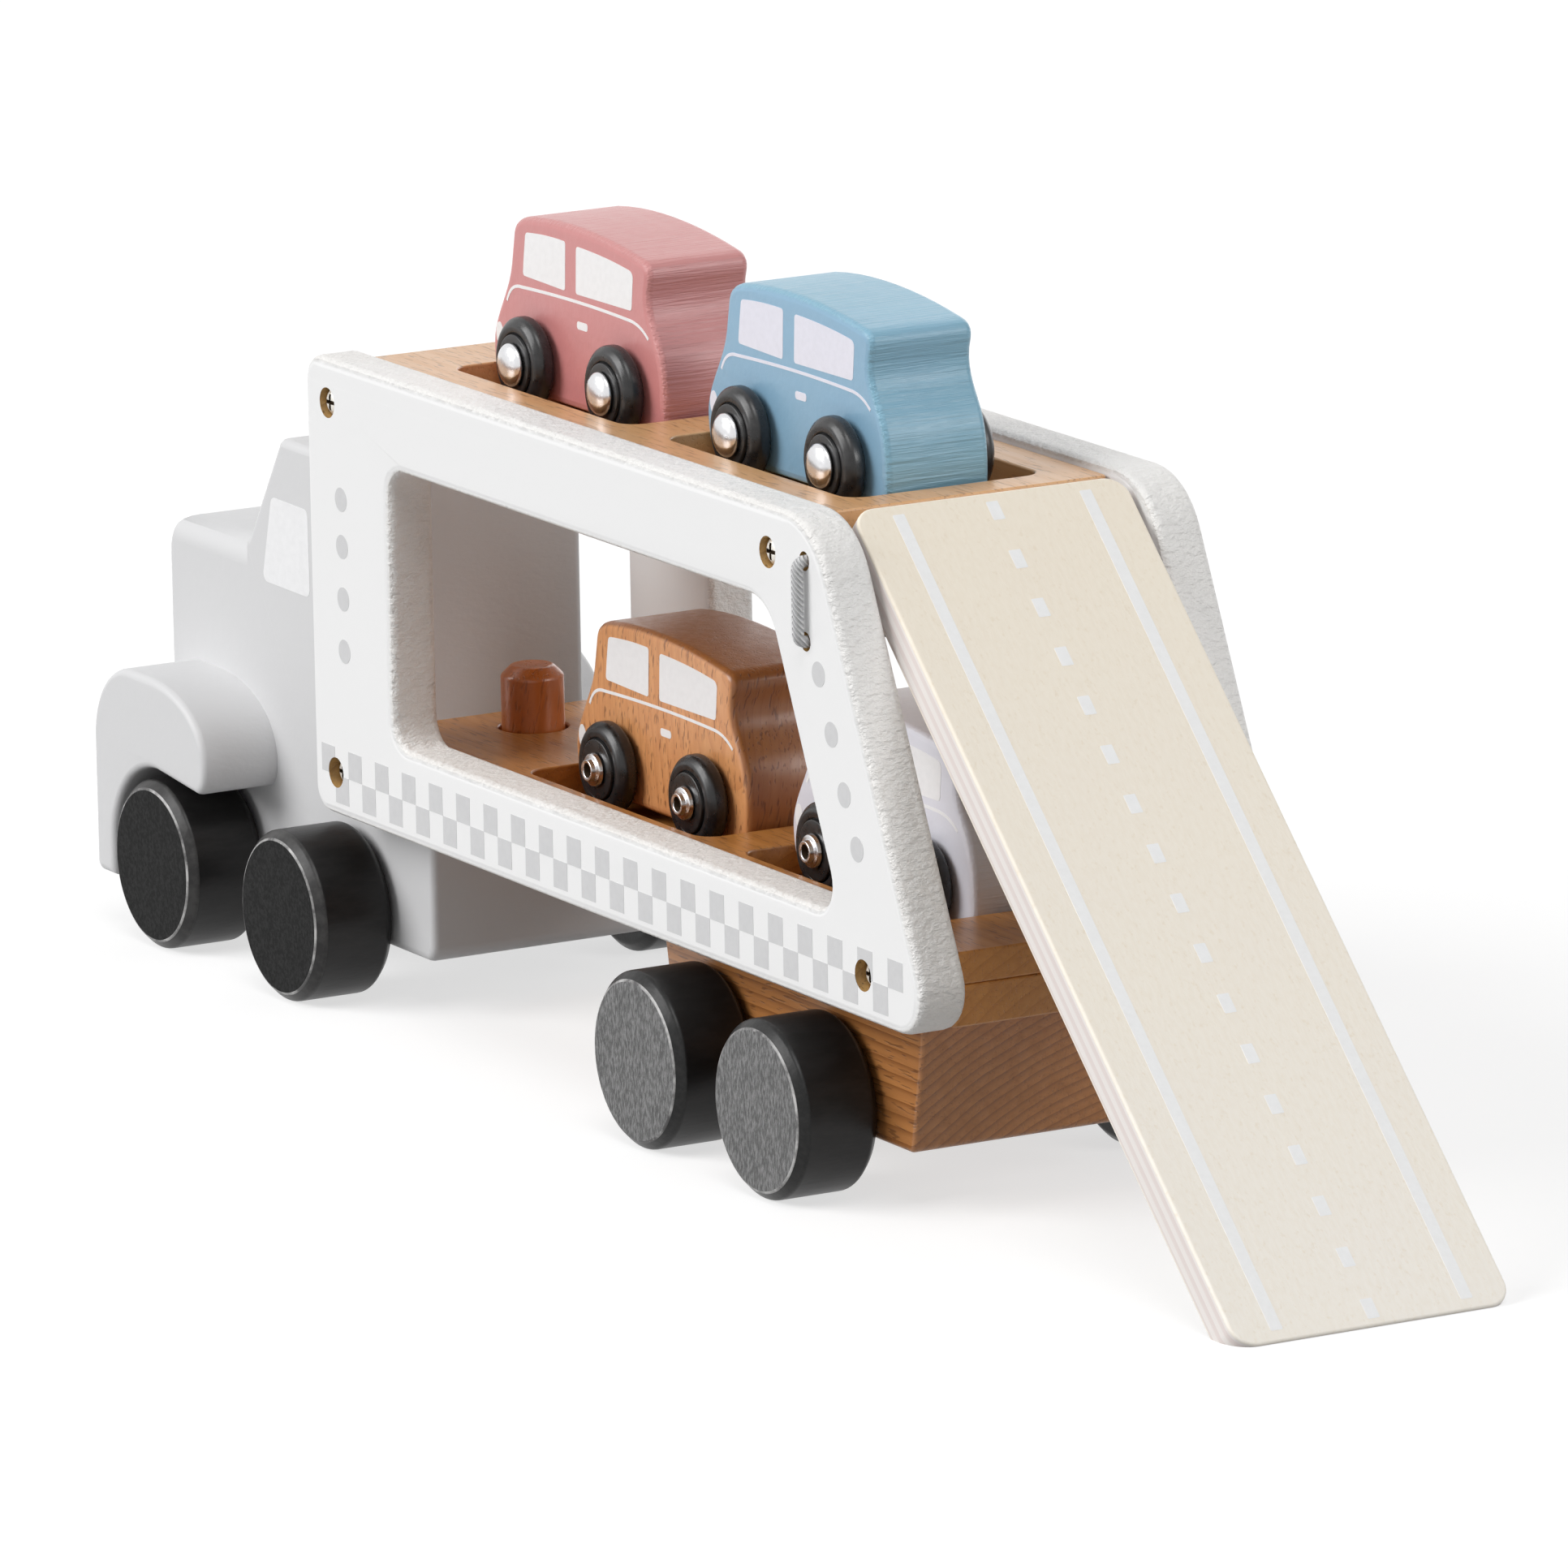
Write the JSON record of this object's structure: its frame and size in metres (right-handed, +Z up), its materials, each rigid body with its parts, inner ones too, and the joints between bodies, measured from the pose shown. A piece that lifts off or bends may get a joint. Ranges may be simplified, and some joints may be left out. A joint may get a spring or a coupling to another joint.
{
  "type": "toy car transporter",
  "caption": "Wooden toy lorry with a swivelling two-deck trailer, a loading ramp on an elastic hinge and small cars that sit in pockets on the decks.",
  "frame": {"origin": "on the floor, under the middle of the toy's length and width", "axes": "+X towards the ramp, with the cab at -X; +Y towards the toy's right side; +Z up"},
  "size_m": [0.3964, 0.0902, 0.1541],
  "materials": {
    "white_paint": "satin white paint on board",
    "grey_paint": "satin pale grey paint on beech",
    "pale_beech": "clear lacquered beech",
    "dark_beech": "clear lacquered beech",
    "ramp_ply": "clear lacquered plywood with painted lines",
    "black_paint": "satin black paint on beech",
    "tyre_black": "satin black",
    "axle_chrome": "polished",
    "screw_steel": "zinc plated",
    "elastic_braid": "braided cover",
    "pink_paint": "satin pink paint on beech",
    "blue_paint": "satin blue paint on beech",
    "natural_body": "clear lacquered beech with painted windows",
    "lavender_paint": "satin lavender white paint on beech"
  },
  "bodies": {
    "tractor": {"tractor_chassis": "grey_paint", "cab": "grey_paint", "left_fender": "grey_paint", "right_fender": "grey_paint", "hitch_peg": "pale_beech"},
    "tractor_front_wheelset": {"tractor_front_axle": "pale_beech", "tractor_front_left_wheel": "black_paint", "tractor_front_right_wheel": "black_paint"},
    "tractor_rear_wheelset": {"tractor_rear_axle": "pale_beech", "tractor_rear_left_wheel": "black_paint", "tractor_rear_right_wheel": "black_paint"},
    "trailer": {"left_side_panel": "white_paint", "right_side_panel": "white_paint", "upper_deck": "pale_beech", "lower_deck": "dark_beech", "bogie_block": "dark_beech", "left_upper_front_screw": "screw_steel", "left_upper_rear_screw": "screw_steel", "left_lower_front_screw": "screw_steel", "left_lower_rear_screw": "screw_steel", "right_upper_front_screw": "screw_steel", "right_upper_rear_screw": "screw_steel", "right_lower_front_screw": "screw_steel", "right_lower_rear_screw": "screw_steel", "elastic_cord": "elastic_braid"},
    "trailer_front_wheelset": {"trailer_front_axle": "pale_beech", "trailer_front_left_wheel": "black_paint", "trailer_front_right_wheel": "black_paint"},
    "trailer_rear_wheelset": {"trailer_rear_axle": "pale_beech", "trailer_rear_left_wheel": "black_paint", "trailer_rear_right_wheel": "black_paint"},
    "ramp": {"ramp": "ramp_ply"},
    "pink_car": {"pink_car_body": "pink_paint"},
    "pink_car_front_wheelset": {"pink_car_front_axle": "axle_chrome", "pink_car_front_left_wheel": "tyre_black", "pink_car_front_right_wheel": "tyre_black"},
    "pink_car_rear_wheelset": {"pink_car_rear_axle": "axle_chrome", "pink_car_rear_left_wheel": "tyre_black", "pink_car_rear_right_wheel": "tyre_black"},
    "blue_car": {"blue_car_body": "blue_paint"},
    "blue_car_front_wheelset": {"blue_car_front_axle": "axle_chrome", "blue_car_front_left_wheel": "tyre_black", "blue_car_front_right_wheel": "tyre_black"},
    "blue_car_rear_wheelset": {"blue_car_rear_axle": "axle_chrome", "blue_car_rear_left_wheel": "tyre_black", "blue_car_rear_right_wheel": "tyre_black"},
    "natural_car": {"natural_car_body": "natural_body"},
    "natural_car_front_wheelset": {"natural_car_front_axle": "axle_chrome", "natural_car_front_left_wheel": "tyre_black", "natural_car_front_right_wheel": "tyre_black"},
    "natural_car_rear_wheelset": {"natural_car_rear_axle": "axle_chrome", "natural_car_rear_left_wheel": "tyre_black", "natural_car_rear_right_wheel": "tyre_black"},
    "white_car": {"white_car_body": "lavender_paint"},
    "white_car_front_wheelset": {"white_car_front_axle": "axle_chrome", "white_car_front_left_wheel": "tyre_black", "white_car_front_right_wheel": "tyre_black"},
    "white_car_rear_wheelset": {"white_car_rear_axle": "axle_chrome", "white_car_rear_left_wheel": "tyre_black", "white_car_rear_right_wheel": "tyre_black"}
  },
  "joints": [
    {"name": "tractor_front_roll", "type": "hinge", "parent": "tractor", "child": "tractor_front_wheelset", "pos_m": [-0.17259, 0, 0.0164], "axis": [0, 1, 0], "continuous": true},
    {"name": "tractor_rear_roll", "type": "hinge", "parent": "tractor", "child": "tractor_rear_wheelset", "pos_m": [-0.12029, 0, 0.0164], "axis": [0, 1, 0], "continuous": true},
    {"name": "trailer_swivel", "type": "hinge", "parent": "tractor", "child": "trailer", "pos_m": [-0.10089, 0, 0.0512], "axis": [0, 0, 1], "range_deg": [-20, 20]},
    {"name": "trailer_front_roll", "type": "hinge", "parent": "trailer", "child": "trailer_front_wheelset", "pos_m": [0.0176, 0, 0.0164], "axis": [0, 1, 0], "continuous": true},
    {"name": "trailer_rear_roll", "type": "hinge", "parent": "trailer", "child": "trailer_rear_wheelset", "pos_m": [0.06221, 0, 0.0164], "axis": [0, 1, 0], "continuous": true},
    {"name": "ramp_fold", "type": "hinge", "parent": "trailer", "child": "ramp", "pos_m": [0.07243, 0, 0.1173], "axis": [0, -1, 0], "range_deg": [0, 134]},
    {"name": "pink_car_lift", "type": "slide", "parent": "trailer", "child": "pink_car", "axis": [0, 0, 1], "range_m": [0, 0.06]},
    {"name": "pink_car_front_roll", "type": "hinge", "parent": "pink_car", "child": "pink_car_front_wheelset", "pos_m": [-0.0748, -0.00085, 0.12655], "axis": [0, 1, 0], "continuous": true},
    {"name": "pink_car_rear_roll", "type": "hinge", "parent": "pink_car", "child": "pink_car_rear_wheelset", "pos_m": [-0.04079, -0.00085, 0.12655], "axis": [0, 1, 0], "continuous": true},
    {"name": "blue_car_lift", "type": "slide", "parent": "trailer", "child": "blue_car", "axis": [0, 0, 1], "range_m": [0, 0.06]},
    {"name": "blue_car_front_roll", "type": "hinge", "parent": "blue_car", "child": "blue_car_front_wheelset", "pos_m": [0.0063, -0.00085, 0.12655], "axis": [0, 1, 0], "continuous": true},
    {"name": "blue_car_rear_roll", "type": "hinge", "parent": "blue_car", "child": "blue_car_rear_wheelset", "pos_m": [0.04031, -0.00085, 0.12655], "axis": [0, 1, 0], "continuous": true},
    {"name": "natural_car_lift", "type": "slide", "parent": "trailer", "child": "natural_car", "axis": [0, 0, 1], "range_m": [0, 0.02]},
    {"name": "natural_car_front_roll", "type": "hinge", "parent": "natural_car", "child": "natural_car_front_wheelset", "pos_m": [-0.0492, 0.00085, 0.05425], "axis": [0, 1, 0], "continuous": true},
    {"name": "natural_car_rear_roll", "type": "hinge", "parent": "natural_car", "child": "natural_car_rear_wheelset", "pos_m": [-0.0152, 0.00085, 0.05425], "axis": [0, 1, 0], "continuous": true},
    {"name": "white_car_lift", "type": "slide", "parent": "trailer", "child": "white_car", "axis": [0, 0, 1], "range_m": [0, 0.02]},
    {"name": "white_car_front_roll", "type": "hinge", "parent": "white_car", "child": "white_car_front_wheelset", "pos_m": [0.03191, 0.00085, 0.05425], "axis": [0, 1, 0], "continuous": true},
    {"name": "white_car_rear_roll", "type": "hinge", "parent": "white_car", "child": "white_car_rear_wheelset", "pos_m": [0.06591, 0.00085, 0.05425], "axis": [0, 1, 0], "continuous": true}
  ]
}
